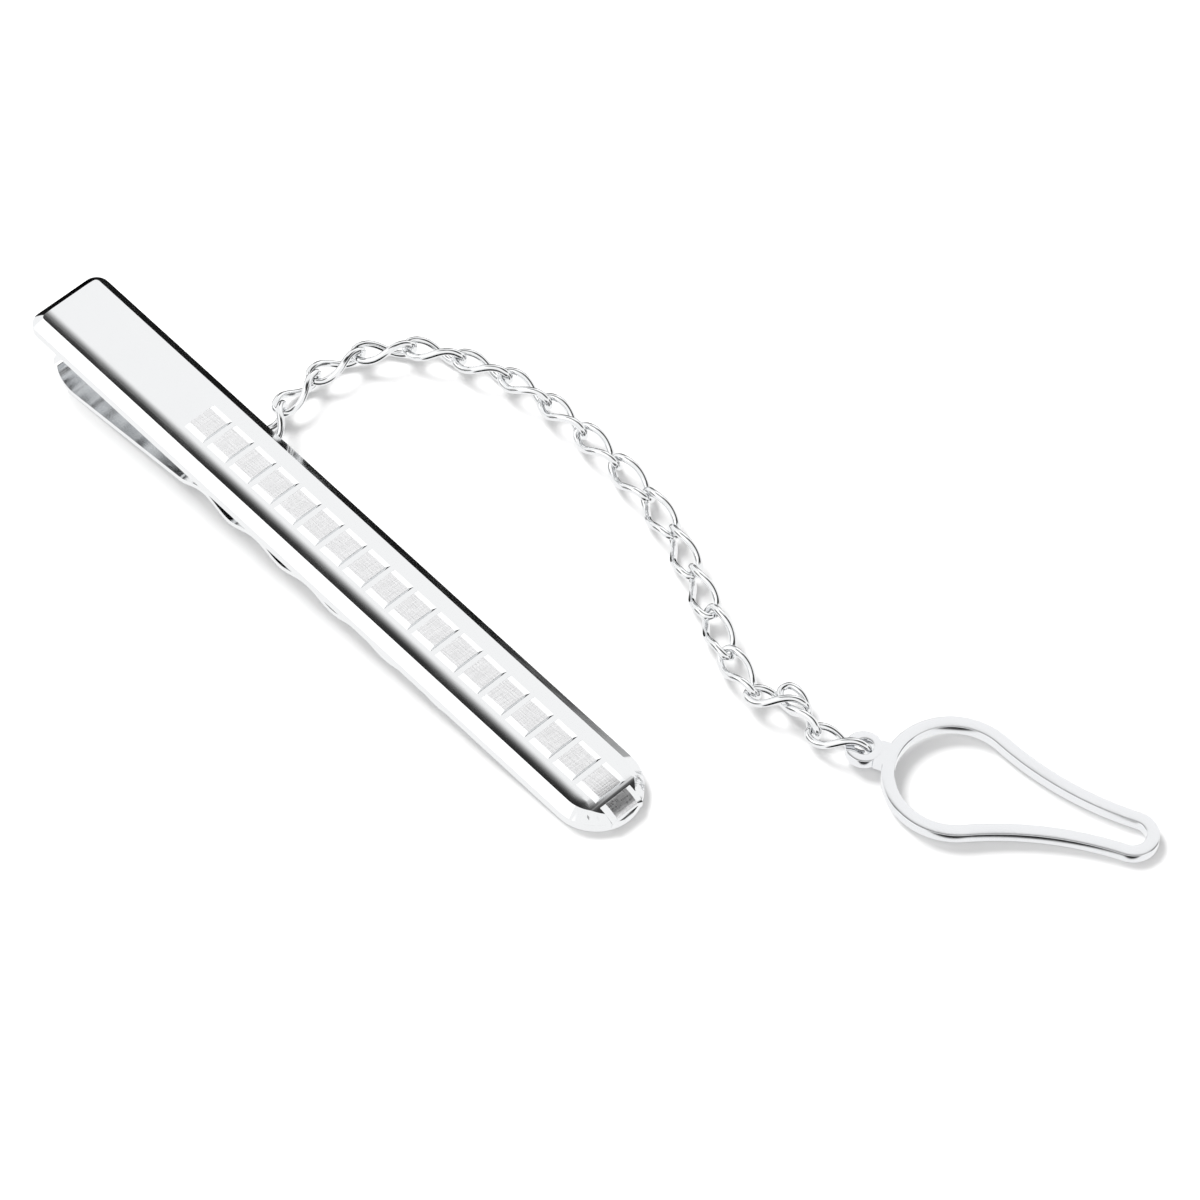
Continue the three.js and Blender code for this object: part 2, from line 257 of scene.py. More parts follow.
def lowest_and_highest(verts):
    """The box around some vertices."""
    low = Vector(min(v.co[i] for v in verts) for i in range(3))
    high = Vector(max(v.co[i] for v in verts) for i in range(3))
    return low, high


def box_centre_mm(node):
    """The middle of a CAD node's box, in millimetres."""
    low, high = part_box(node)
    return (Vector(low) + Vector(high)) / (2 * MM)


def new_verts(made):
    """The vertices among what an extrusion made."""
    return [item for item in made["geom"] if isinstance(item, bmesh.types.BMVert)]


def joined(*shapes):
    """Several bmeshes as one. Their skins stay separate."""
    whole = bmesh.new()
    for shape in shapes:
        bmesh.ops.recalc_face_normals(shape, faces=shape.faces)
        mesh = bpy.data.meshes.new("joining")
        shape.to_mesh(mesh)
        shape.free()
        whole.from_mesh(mesh)
        bpy.data.meshes.remove(mesh)
    return whole


print("rounds under", SMOOTH_UNDER, "degrees shade smooth")

# %% [markdown]
# ## Where the bar lies
# The bar rests on its rounded tip and on the bend of the spring behind it, so it slopes a few
# degrees. The slope is read from the frame: the record has a mount on the bar's flat front and says
# which way that face looks. From the slope and the CAD box the bar's own origin follows, at the
# middle of its length on its top face.

# %% The bar's own frame
BAR_LENGTH = 61.0
BAR_WIDTH = 7.0
BAR_HEIGHT = 1.58
BAR_TIP = BAR_LENGTH / 2  # from the bar's own origin to the end of its tip

mounts = {mount["name"]: mount for mount in frame["record"]["mounts"]}
slope = math.asin(mounts["engraving_face"]["axis"][0])
bar_low, bar_high = (Vector(corner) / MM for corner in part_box("front_bar"))
bar_origin = Vector(
    (
        bar_low.x + BAR_TIP * math.cos(slope) + BAR_HEIGHT * math.sin(slope),
        (bar_low.y + bar_high.y) / 2,
        bar_low.z + BAR_TIP * math.sin(slope) + BAR_HEIGHT * math.cos(slope),
    )
)
bar_place = Matrix.Translation(bar_origin) @ Matrix.Rotation(slope, 4, "Y")
print("bar slopes", round(math.degrees(slope), 2), "degrees")
print("bar origin in mm:", [round(c, 2) for c in bar_origin])

# %% [markdown]
# ## The front bar
# The real bar is stamped from thick sheet: square at one end, round at the other, with a flat
# chamfer all round its top. A cube is enough to start from. Bevelling its four upright edges makes
# the round tip and the small corner rounds, and bevelling the top edge with one segment makes the
# chamfer. Buffing has crowned the top: it falls away a little towards both long edges, so the cube
# is sliced lengthways and the slices are lowered.

# %% Front bar
BAR_CHAMFER = 0.8
BAR_CORNER = 1.1
CROWN_FROM = 1.45  # from the bar's middle line to where the top starts to fall
CROWN_DROP = 0.11
CROWN_SLICES = 8
TIP_SLICES = 4
TIP_SLICE = 0.5
TIP_SEGMENTS = 28
CORNER_SEGMENTS = 8
BAR_SOFT = 0.03
HAIR = 0.002  # a gap too small to see between the tip's two halves, and the slack in tests


def edges_where(shape, test):
    """The edges both of whose ends pass a test."""
    return [edge for edge in shape.edges if all(test(vert.co) for vert in edge.verts)]


def bevel_edges(shape, edges, offset, segments):
    """Rounds some edges, or chamfers them when there is one segment."""
    bmesh.ops.bevel(
        shape,
        geom=edges,
        offset=offset,
        offset_type="OFFSET",
        affect="EDGES",
        segments=segments,
        profile=0.5,
        material=-1,
    )


def slice_at(shape, point, normal):
    """Adds a row of edges where a plane crosses the shape."""
    geometry = shape.verts[:] + shape.edges[:] + shape.faces[:]
    bmesh.ops.bisect_plane(shape, geom=geometry, plane_co=point, plane_no=normal)


def crown_drop(x, y):
    """How far the buffed top has fallen at a place. Its rim is a half circle round the tip."""
    rim = BAR_WIDTH / 2 - BAR_CHAMFER
    out = math.hypot(max(0.0, x - (BAR_TIP - BAR_WIDTH / 2)), y)
    share = max(0.0, (out - CROWN_FROM) / (rim - CROWN_FROM))
    return CROWN_DROP * min(share, 1.0) ** 2


bar = bmesh.new()
bmesh.ops.create_cube(bar, size=1.0)
bmesh.ops.scale(bar, vec=(BAR_LENGTH, BAR_WIDTH, BAR_HEIGHT), verts=bar.verts)
bmesh.ops.translate(bar, vec=(0, 0, -BAR_HEIGHT / 2), verts=bar.verts)
upright = [e for e in bar.edges if abs(e.verts[0].co.z - e.verts[1].co.z) > BAR_HEIGHT / 2]
tip_edges = [e for e in upright if e.verts[0].co.x > 0]
square_edges = [e for e in upright if e.verts[0].co.x < 0]
bevel_edges(bar, tip_edges, BAR_WIDTH / 2 - HAIR, TIP_SEGMENTS)
bevel_edges(bar, [e for e in square_edges if e.is_valid], BAR_CORNER, CORNER_SEGMENTS)
bmesh.ops.remove_doubles(bar, verts=bar.verts, dist=HAIR * 3)
bevel_edges(bar, edges_where(bar, lambda co: co.z > -HAIR), BAR_CHAMFER, 1)
for step in range(CROWN_SLICES):
    y = CROWN_FROM + (BAR_WIDTH / 2 - BAR_CHAMFER - CROWN_FROM) * step / CROWN_SLICES
    slice_at(bar, (0, y, 0), (0, 1, 0))
    slice_at(bar, (0, -y, 0), (0, 1, 0))
for step in range(TIP_SLICES):
    slice_at(bar, (BAR_TIP - BAR_WIDTH / 2 + TIP_SLICE * step, 0, 0), (1, 0, 0))
for vert in bar.verts:
    if vert.co.z > -BAR_CHAMFER / 2:
        vert.co.z -= crown_drop(vert.co.x, vert.co.y)
print("bar blank:", len(bar.faces), "faces")

# %% [markdown]
# ## The rolled tip
# Over its last few millimetres the whole top rolls down to the tip, and the two long chamfers run
# out in points against it. That is one cut: a block whose underside is a quarter of an ellipse,
# seen from the side, is taken away from the bar by a Boolean modifier. The result becomes the new
# shape, so no modifier is left behind.

# %% Roll the tip
ROLL_LENGTH = 3.2
ROLL_DROP = 1.1
ROLL_START = BAR_TIP - ROLL_LENGTH
ROLL_STEPS = 36
ROLL_LID = 1.0  # height of the cutting block over the bar's top, and its reach past the tip


def cut_out(shape, cutter):
    """Takes one bmesh out of another and returns the result as a new bmesh."""
    both = []
    for part in (shape, cutter):
        bmesh.ops.recalc_face_normals(part, faces=part.faces)
        mesh = bpy.data.meshes.new("cutting")
        part.to_mesh(mesh)
        part.free()
        both.append(bpy.data.objects.new("cutting", mesh))
        bpy.context.scene.collection.objects.link(both[-1])
    kept, tool = both
    cut = kept.modifiers.new("cut", "BOOLEAN")
    cut.operation = "DIFFERENCE"
    cut.solver = "EXACT"
    cut.object = tool
    bpy.context.view_layer.update()
    evaluated = kept.evaluated_get(bpy.context.evaluated_depsgraph_get())
    result = bmesh.new()
    result.from_mesh(evaluated.to_mesh())
    evaluated.to_mesh_clear()
    for used in both:
        bpy.data.meshes.remove(used.data)  # its object goes with it
    return result


def roll_drop(x):
    """How far the rolled top has gone down at a place along the bar."""
    share = min(max(0.0, (x - ROLL_START) / ROLL_LENGTH), 1.0)
    return ROLL_DROP * (1 - math.sqrt(1 - share**2))


roll = bmesh.new()
bmesh.ops.create_grid(roll, x_segments=ROLL_STEPS, y_segments=1, size=1.0)
for vert in roll.verts:
    angle = (vert.co.x + 1) / 2 * math.pi / 2
    x = ROLL_START + ROLL_LENGTH * math.sin(angle)
    vert.co = Vector((x, vert.co.y * BAR_WIDTH, -roll_drop(x)))
tip_edge = edges_where(roll, lambda co: co.x > BAR_TIP - HAIR)
past_tip = bmesh.ops.extrude_edge_only(roll, edges=tip_edge)
bmesh.ops.translate(roll, vec=(ROLL_LID, 0, 0), verts=new_verts(past_tip))
lid = bmesh.ops.extrude_face_region(roll, geom=roll.faces[:])
for vert in new_verts(lid):
    vert.co.z = ROLL_LID
bar = cut_out(bar, roll)
bar_piece = finish_piece(
    "front_bar_polished", bar, bar_place, "bar", [bar_finish], ["front_bar"]
)
soften_edges(bar_piece, BAR_SOFT)
print("front bar:", len(bar_piece.data.polygons), "faces")

# %% [markdown]
# ## The strip of pads
# A low strip runs along the bar, and narrow grooves cut it into pads. Each pad is a cube whose top
# face is extruded by the strip's rise and drawn in at the sides, which gives the polished bevels,
# and only that last face takes the brushed finish. The pads are made in a loop. The last two reach
# the rolled tip, so they are sliced across and lowered with it, and they make a piece of their own,
# the nose.

# %% Pad strip
PLAIN_LENGTH = 15.0  # from the bar's square end to the strip
STRIP_START = -BAR_TIP + PLAIN_LENGTH
STRIP_END = BAR_TIP - 0.15
STRIP_WIDTH = 2.9
STRIP_BEVEL = 0.46
STRIP_RISE = 0.16
PAD_PITCH = 2.45
LAST_PAD = 18
GROOVE = 0.42
FIRST_GROOVE = 2.6  # from the start of the strip
PAD_FOOT = 0.3  # how far a pad reaches down into the bar
NOSE_FOOT = 1.3
PAD_EDGE = 0.07  # how far the slope at each end of a pad runs in
PAD_SMOOTH = 10  # degrees, less than the slope of the bevels
PAD_SOFT = 0.02


def pad_ends(index):
    """Where a pad starts and ends along the bar. Pad 0 starts the strip, the last pad ends it."""
    start = STRIP_START + FIRST_GROOVE + (index - 1) * PAD_PITCH + GROOVE / 2
    end = STRIP_START + FIRST_GROOVE + index * PAD_PITCH - GROOVE / 2
    return max(start, STRIP_START), min(end, STRIP_END)


def add_pad(shape, start, end, foot):
    """One pad. Its top face gets the second material."""
    made = bmesh.ops.create_cube(shape, size=1.0)["verts"]
    bmesh.ops.scale(shape, vec=(end - start, STRIP_WIDTH, foot), verts=made)
    bmesh.ops.translate(shape, vec=((start + end) / 2, 0, -foot / 2), verts=made)
    faces = {face for vert in made for face in vert.link_faces}
    top = max(faces, key=lambda face: face.calc_center_median().z)
    raised = bmesh.ops.extrude_face_region(shape, geom=[top])
    raised_verts = new_verts(raised)
    raised_face = next(item for item in raised["geom"] if isinstance(item, bmesh.types.BMFace))
    bmesh.ops.delete(shape, geom=[top], context="FACES_ONLY")
    bmesh.ops.translate(shape, vec=(0, 0, STRIP_RISE), verts=raised_verts)
    for vert in raised_verts:
        vert.co.y *= 1 - 2 * STRIP_BEVEL / STRIP_WIDTH
        vert.co.x += PAD_EDGE if vert.co.x < (start + end) / 2 else -PAD_EDGE
    raised_face.material_index = 1


def slice_and_roll(shape, start, end):
    """Slices a pad across and lowers its top with the rolled tip."""
    for step in range(1, ROLL_STEPS):
        slice_at(shape, (start + (end - start) * step / ROLL_STEPS, 0, 0), (1, 0, 0))
    for vert in shape.verts:
        if vert.co.z > -HAIR:
            vert.co.z -= roll_drop(vert.co.x)


strip = bmesh.new()
rolled_pads = []
for index in range(LAST_PAD + 1):
    start, end = pad_ends(index)
    if end < ROLL_START:
        add_pad(strip, start, end, PAD_FOOT)
    else:
        pad = bmesh.new()
        add_pad(pad, start, end, PAD_FOOT if index < LAST_PAD else NOSE_FOOT)
        slice_and_roll(pad, start, end)
        rolled_pads.append(pad)
for name, pads in (("pad_strip", strip), ("strip_nose", joined(*rolled_pads))):
    piece = finish_piece(
        name,
        pads,
        bar_place,
        "bar",
        [bar_finish, brushed_finish],
        smooth_under=PAD_SMOOTH,
    )
    soften_edges(piece, PAD_SOFT)
print("pads:", LAST_PAD + 1, "of which", len(rolled_pads), "are rolled with the tip")

# %% [markdown]
# ## The spring strip
# Behind the bar one springy strip is soldered at the square end, turns back on itself and runs
# under the bar in low waves that grip the cloth. It is drawn as a flat grid, one long row of
# squares, whose points are then moved onto the strip's side line, and solidify gives it its
# thickness. The waves fade towards the free end. It is two pieces here, split at the outermost
# point of the bend, because the lower one swings on a hinge there.

# %% Spring strip
ARM_THICKNESS = 0.45
ARM_WIDTH = 5.6
ARM_SHIFT = -0.3
BEND_INSET = 2.45  # from the bar's square end to the bend
BEND_RADIUS = 2.04
ROOT_LENGTH = 5.0
RUN_LENGTH = 12.0
RUN_END_DEPTH = 1.6  # under the bar, where the waves start
WAVE_COUNT = 6.5
WAVE_LENGTH = 5.6
WAVE_AT_START = 0.5  # height of the first wave over its middle line
WAVE_AT_END = 0.1
ARM_END_DEPTH = 0.42  # under the bar, at the free end
ARM_CONVERGE = 1.6  # over 1, so the waves come close to the bar early
SOLDER_FILM = 0.03
BEND_SHARE = 0.08  # share of the arm's slices on its bend
RUN_SHARE = 0.12  # and where the straight run ends
ROOT_SLICES = 40
ARM_SLICES = 300
SPRING_SOFT = 0.03

bend_middle = BEND_RADIUS - ARM_THICKNESS / 2
bend_x = -BAR_TIP + BEND_INSET + BEND_RADIUS
bend_z = -BAR_HEIGHT - SOLDER_FILM - BEND_RADIUS
wave_start = bend_x + RUN_LENGTH
arm_end = wave_start + WAVE_COUNT * WAVE_LENGTH


def wave_height(x):
    """Height of the waved stretch's middle line."""
    left = (arm_end - x) / (arm_end - wave_start)
    depth = ARM_END_DEPTH + (RUN_END_DEPTH - ARM_END_DEPTH) * left**ARM_CONVERGE
    height = WAVE_AT_END + (WAVE_AT_START - WAVE_AT_END) * left
    phase = (x - wave_start) / WAVE_LENGTH * math.tau
    return -BAR_HEIGHT - SOLDER_FILM - depth - height * math.cos(phase)


run_slope = (wave_height(wave_start) - (bend_z - bend_middle)) / RUN_LENGTH
bend_end = math.pi * 1.5 + math.atan(run_slope)


def on_bend(angle):
    """A point of the bend's middle line, at an angle from +X."""
    middle = Vector((bend_x, 0, bend_z))
    return middle + bend_middle * Vector((math.cos(angle), 0, math.sin(angle)))


def root_line(share):
    """From the split at the bend's outermost point, up and over, and along the soldered tab."""
    turn = min(share / 0.5, 1.0)
    point = on_bend(math.pi - turn * math.pi / 2)
    point.x += ROOT_LENGTH * max(0.0, (share - 0.5) / 0.5)
    return point


def arm_line(share):
    """From the split, down round the bend, along the straight run and through the waves."""
    if share < BEND_SHARE:
        return on_bend(math.pi + (bend_end - math.pi) * share / BEND_SHARE)
    if share < RUN_SHARE:
        foot = on_bend(bend_end)
        start = Vector((wave_start, 0, wave_height(wave_start)))
        return foot.lerp(start, (share - BEND_SHARE) / (RUN_SHARE - BEND_SHARE))
    x = wave_start + (arm_end - wave_start) * (share - RUN_SHARE) / (1 - RUN_SHARE)
    return Vector((x, 0, wave_height(x)))


def sprung_strip(line, slices):
    """A strip of even thickness along a side line that runs from share 0 to 1."""
    shape = bmesh.new()
    bmesh.ops.create_grid(shape, x_segments=slices, y_segments=1, size=1.0)
    for vert in shape.verts:
        share = (vert.co.x + 1) / 2
        step = 0.25 / slices
        along = line(min(share + step, 1.0)) - line(max(share - step, 0.0))
        outward = Vector((along.z, 0, -along.x)).normalized()
        side = vert.co.y * ARM_WIDTH / 2 + ARM_SHIFT
        vert.co = line(share) - outward * ARM_THICKNESS / 2
        vert.co.y = side
    bmesh.ops.solidify(shape, geom=shape.faces[:], thickness=ARM_THICKNESS)
    return shape


root = sprung_strip(root_line, ROOT_SLICES)
arm = sprung_strip(arm_line, ARM_SLICES)
print("arm runs to", round(arm_end, 2), "mm; slope of its run", round(run_slope, 3))

# %% [markdown]
# ## The hole for the jump ring
# The ring that holds the chain passes through a small hole near the arm's far edge, just past a
# crest of the waves. The same Boolean helper cuts it with a cylinder.

# %% Cut the hole and finish both strips
RING_HOLE_RADIUS = 0.66
RING_HOLE_EDGE = 0.9  # from the arm's far edge to the hole's middle
RING_HOLE_PAST_CREST = 0.35
DRILL_SIDES = 32

hole_x = wave_start + WAVE_LENGTH / 2 + RING_HOLE_PAST_CREST
hole_y = ARM_SHIFT + ARM_WIDTH / 2 - RING_HOLE_EDGE
drill = bmesh.new()
bmesh.ops.create_cone(
    drill,
    segments=DRILL_SIDES,
    radius1=RING_HOLE_RADIUS,
    radius2=RING_HOLE_RADIUS,
    depth=ARM_THICKNESS * 3,
    cap_ends=True,
)
bmesh.ops.translate(drill, vec=(hole_x, hole_y, wave_height(hole_x)), verts=drill.verts)
arm = cut_out(arm, drill)
root_piece = finish_piece(
    "spring_root_smooth", root, bar_place, "bar", [spring_finish], ["spring_root"]
)
arm_piece = finish_piece(
    "spring_arm_smooth", arm, bar_place, "arm", [spring_finish], ["spring_arm"]
)
soften_edges(root_piece, SPRING_SOFT)
soften_edges(arm_piece, SPRING_SOFT)
print("spring:", len(arm_piece.data.polygons), "faces")

# %% [markdown]
# ## Wire rings
# The jump ring and the links are loops of round wire with no visible joint. A circle spun right
# round makes a ring, and each of its points has an angle round the ring and an angle round the
# wire. Moving every point by those two angles onto another closed curve turns the same ring into a
# twisted link.

# %% Spin a ring of wire
WIRE_SIDES = 20
RING_STEPS = 84
SEAM = 1e-4  # points this close are one point, where a spin comes round to its start


def spin_on(shape, section, centre, angle, steps, closed=False):
    """Spins a section round an upright axis and returns it where it stopped."""
    spun = bmesh.ops.spin(
        shape,
        geom=section,
        cent=centre,
        axis=(0, 0, 1),
        angle=angle,
        steps=steps,
        use_merge=closed,
    )
    return spun["geom_last"]


def spun_ring(radius, wire):
    """A ring of round wire round the Z axis."""
    shape = bmesh.new()
    bmesh.ops.create_circle(shape, segments=WIRE_SIDES, radius=wire / 2)
    bmesh.ops.rotate(shape, matrix=Matrix.Rotation(math.pi / 2, 3, "X"), verts=shape.verts)
    bmesh.ops.translate(shape, vec=(radius, 0, 0), verts=shape.verts)
    section = shape.verts[:] + shape.edges[:]
    spin_on(shape, section, (0, 0, 0), math.tau, RING_STEPS, closed=True)
    bmesh.ops.remove_doubles(shape, verts=shape.verts, dist=SEAM)
    return shape


RING_WIRE = 0.5
RING_RADIUS = 1.15
RING_HEADING = 118

ring = spun_ring(RING_RADIUS, RING_WIRE)
ring_centre = box_centre_mm("jump_ring")
stand_up = Matrix.Rotation(math.pi / 2, 4, "X")
turn_round = Matrix.Rotation(math.radians(RING_HEADING), 4, "Z")
ring_place = Matrix.Translation(ring_centre) @ turn_round @ stand_up
finish_piece(
    "jump_ring_smooth", ring, ring_place, "ring", [chain_finish], ["jump_ring"]
)
print("jump ring at", [round(c, 2) for c in ring_centre])

# %% [markdown]
# ## The chain
# Each link is an oval ring whose two ends were turned a quarter turn apart, so that every link
# hooks the next one flat to upright and the chain lies smooth. The curve below is such an oval, a
# little blunt at its ends, with the twist spread over its length. Each link is turned to its
# heading, climb and roll and then moved so that its box has the same middle as the CAD node that it
# stands for.

# %% Twisted links
LINK_WIRE = 0.55
LINK_LENGTH = 4.53
LINK_HALF_WIDTH = 0.92
LINK_TWIST = -math.pi / 2
LINK_TWIST_FROM = 0.1  # share of the length at each end that isn't twisted
LINK_BLUNTNESS = 0.72  # 1 would be an ellipse
# How each link lies, in degrees: heading from +X, climb, and roll about its own length.
LINK_LIES = [
    (118, -5, 0),
    (97, 0, 4),
    (79, 0, 8),
    (54, 0, 8),
    (29, 0, 8),
    (19, 0, 8),
    (6, 0, 8),
    (-1, 0, 10),
    (-4, 0, 26),
    (-8, 0, 46),
    (-16, 0, 66),
    (-23, 0, 84),
    (-25, 0, 84),
    (-26, 0, 55),
    (-14, 0, 29),
    (24.5, 3.6, -4.9),
    (-13.1, -4.5, 1.3),
    (23.3, 0.5, 4.6),
]


def link_twist(turn):
    """Twist of the link at an angle round its ring, smooth between its two straight ends."""
    share = ((1 - math.cos(turn)) / 2 - LINK_TWIST_FROM) / (1 - 2 * LINK_TWIST_FROM)
    share = min(max(share, 0.0), 1.0)
    return LINK_TWIST * share * share * (3 - 2 * share)


def link_middle(turn):
    """The middle of the link's wire. It starts flat at the origin and ends upright along X."""
    sine = math.sin(turn)
    reach = LINK_HALF_WIDTH * math.copysign(abs(sine) ** LINK_BLUNTNESS, sine)
    twist = link_twist(turn)
    x = LINK_LENGTH / 2 * (1 - math.cos(turn))
    return Vector((x, reach * math.cos(twist), reach * math.sin(twist)))


def twisted_link():
    """A spun ring whose points are moved onto the link's curve."""
    unit = 1.0
    shape = spun_ring(unit, LINK_WIRE)
    step = 1e-3
    for vert in shape.verts:
        turn = math.atan2(vert.co.y, vert.co.x)
        round_wire = math.atan2(vert.co.z, math.hypot(vert.co.x, vert.co.y) - unit)
        along = (link_middle(turn + step) - link_middle(turn - step)).normalized()
        twist = link_twist(turn)
        sine = math.sin(turn)
        outward = Vector((-math.cos(turn), sine * math.cos(twist), sine * math.sin(twist)))
        outward = (outward - along * outward.dot(along)).normalized()
        side = outward.cross(along).normalized()
        vert.co = link_middle(turn) + LINK_WIRE / 2 * (
            outward * math.cos(round_wire) + side * math.sin(round_wire)
        )
    return shape


def lie(heading, climb, roll):
    """Turns a piece that points along X to its heading, climb and roll."""
    return (
        Matrix.Rotation(math.radians(heading), 4, "Z")
        @ Matrix.Rotation(math.radians(-climb), 4, "Y")
        @ Matrix.Rotation(math.radians(roll), 4, "X")
    )


for number, lies in enumerate(LINK_LIES, start=1):
    link = twisted_link()
    bmesh.ops.transform(link, matrix=lie(*lies), verts=link.verts)
    low, high = lowest_and_highest(link.verts)
    node = f"chain_link_{number:02d}"
    link_place = Matrix.Translation(box_centre_mm(node) - (low + high) / 2)
    finish_piece(
        f"twisted_link_{number:02d}",
        link,
        link_place,
        f"link_{number:02d}",
        [chain_finish],
        [node],
    )
print("links:", len(LINK_LIES))

# %% [markdown]
# ## The button loop
# The loop is stamped from sheet: a round end, two hollow flanks and a small round end, with an even
# ribbon all the way. Such an outline is four arcs that touch, so one small section of the ribbon,
# its corners softened, is spun along each arc in turn from where the last one stopped. The tab is
# such a section too, spun right round its hole, and a short neck joins the two.

# %% Button loop
LOOP_THICKNESS = 0.85
LOOP_BIG = 5.17  # outer radius of the round end
LOOP_SMALL = 1.95  # outer radius of the narrow end
LOOP_RIBBON = 0.95
LOOP_REACH = 13.2  # between the middles of the two ends
TAB_RADIUS = 1.35
TAB_HOLE = 0.68
TAB_REACH = 6.75  # from the tab's hole to the middle of the round end
TAB_NECK = 2.0
NECK_SINK = 0.75  # share of the tab's radius where the neck begins
STAMPED_EDGE = 0.07
EDGE_SEGMENTS = 3
OUTLINE_SEAM = 0.01  # points this close are one point, where the last arc meets the first
BIG_STEPS, FLANK_STEPS, SMALL_STEPS, TAB_STEPS = 96, 32, 48, 56

loop_up = -Vector(mounts["loop_underside"]["axis"])
loop_heading = math.atan2(loop_up.y, loop_up.x)
loop_dip = math.acos(loop_up.z)


def ribbon_section(middle, width, thickness):
    """A soft-cornered rectangle in the XZ plane, as a bmesh with one closed row of edges."""
    shape = bmesh.new()
    corners = [
        shape.verts.new((middle + x * width / 2, 0, z * thickness / 2))
        for x, z in ((-1, -1), (1, -1), (1, 1), (-1, 1))
    ]
    for here, there in zip(corners, corners[1:] + corners[:1]):
        shape.edges.new((here, there))
    bmesh.ops.bevel(
        shape,
        geom=shape.verts[:],
        offset=STAMPED_EDGE,
        offset_type="OFFSET",
        affect="VERTICES",
        segments=EDGE_SEGMENTS,
        profile=0.5,
        material=-1,
    )
    return shape


gap_between = LOOP_BIG - LOOP_SMALL
flank = (LOOP_REACH**2 - gap_between * (LOOP_BIG + LOOP_SMALL)) / (2 * gap_between)
lean = math.asin(LOOP_REACH / (flank + LOOP_BIG))
big_centre = Vector((TAB_REACH, 0, 0))
small_centre = Vector((TAB_REACH + LOOP_REACH, 0, 0))
flank_offset = Vector((0, LOOP_SMALL + flank, 0))

ribbon = ribbon_section(LOOP_BIG - LOOP_RIBBON / 2, LOOP_RIBBON, LOOP_THICKNESS)
bmesh.ops.translate(ribbon, vec=big_centre, verts=ribbon.verts)
first_touch = Matrix.Rotation(math.pi / 2 - lean, 3, "Z")
bmesh.ops.rotate(ribbon, cent=big_centre, matrix=first_touch, verts=ribbon.verts)
section = ribbon.verts[:] + ribbon.edges[:]
section = spin_on(ribbon, section, big_centre, math.pi + 2 * lean, BIG_STEPS)
section = spin_on(ribbon, section, small_centre - flank_offset, -lean, FLANK_STEPS)
section = spin_on(ribbon, section, small_centre, math.pi, SMALL_STEPS)
spin_on(ribbon, section, small_centre + flank_offset, -lean, FLANK_STEPS)
bmesh.ops.remove_doubles(ribbon, verts=ribbon.verts, dist=OUTLINE_SEAM)

tab = ribbon_section((TAB_RADIUS + TAB_HOLE) / 2, TAB_RADIUS - TAB_HOLE, LOOP_THICKNESS)
spin_on(tab, tab.verts[:] + tab.edges[:], (0, 0, 0), math.tau, TAB_STEPS, closed=True)
bmesh.ops.remove_doubles(tab, verts=tab.verts, dist=SEAM)

neck_from = TAB_RADIUS * NECK_SINK
neck_to = TAB_REACH - LOOP_BIG + LOOP_RIBBON / 2
neck = bmesh.new()
bmesh.ops.create_cube(neck, size=1.0)
neck_size = (neck_to - neck_from, TAB_NECK, LOOP_THICKNESS - HAIR)
bmesh.ops.scale(neck, vec=neck_size, verts=neck.verts)
bmesh.ops.translate(neck, vec=((neck_from + neck_to) / 2, 0, 0), verts=neck.verts)

loop_turn = Matrix.Rotation(loop_heading, 4, "Z") @ Matrix.Rotation(loop_dip, 4, "Y")

loop = joined(ribbon, tab, neck)
bmesh.ops.transform(loop, matrix=loop_turn, verts=loop.verts)
low, high = lowest_and_highest(loop.verts)
loop_place = Matrix.Translation(box_centre_mm("button_loop") - (low + high) / 2)
finish_piece(
    "button_loop_smooth", loop, loop_place, "loop", [loop_finish], ["button_loop"]
)
loop_angles = [round(math.degrees(angle), 2) for angle in (loop_heading, loop_dip)]
print("loop heading and dip in degrees:", loop_angles)

# %% [markdown]
# ## The surface it lies on
# Small bright metal is shown on a plain white surface. The floor is one large square, matt and
# pale, at the height that the object lies on. It isn't part of the object.

# %% Floor
FLOOR_SIZE = 4.0

floor_shape = bmesh.new()
bmesh.ops.create_grid(floor_shape, x_segments=1, y_segments=1, size=FLOOR_SIZE / 2)
floor_mesh = bpy.data.meshes.new("floor")
floor_shape.to_mesh(floor_mesh)
floor_shape.free()
floor = bpy.data.objects.new("floor", floor_mesh)
bpy.context.scene.collection.objects.link(floor)
floor_paint, _, floor_shader = new_finish("matt white board", "#f7f7f7", 1.0)
floor_shader.inputs["Metallic"].default_value = 0.0
floor_shader.inputs["Specular IOR Level"].default_value = 0.0
floor_mesh.materials.append(floor_paint)
floor.visible_glossy = False
print("floor:", FLOOR_SIZE, "m square")

# %% [markdown]
# ## Light
# Polished metal shows what is round it, so the light is mostly a surrounding: pale everywhere, like
# a light tent, with dark cards that give the chamfers and the wires their black lines. A card is a
# round patch in some direction. The world compares each direction with the card's own by a dot
# product, and a smooth step between the card's outer and inner angle says how much of the card is
# there. A soft lamp on the left adds the shadows. It doesn't show in the metal, where its disc
# would hide the cards.

# %% Surrounding
TENT = 1.04  # brightness of the tent
LAMP_PLACE = Vector((-0.38, 0.02, 0.42))
LAMP_SIZE = 0.30
LAMP_WATTS = 3.0
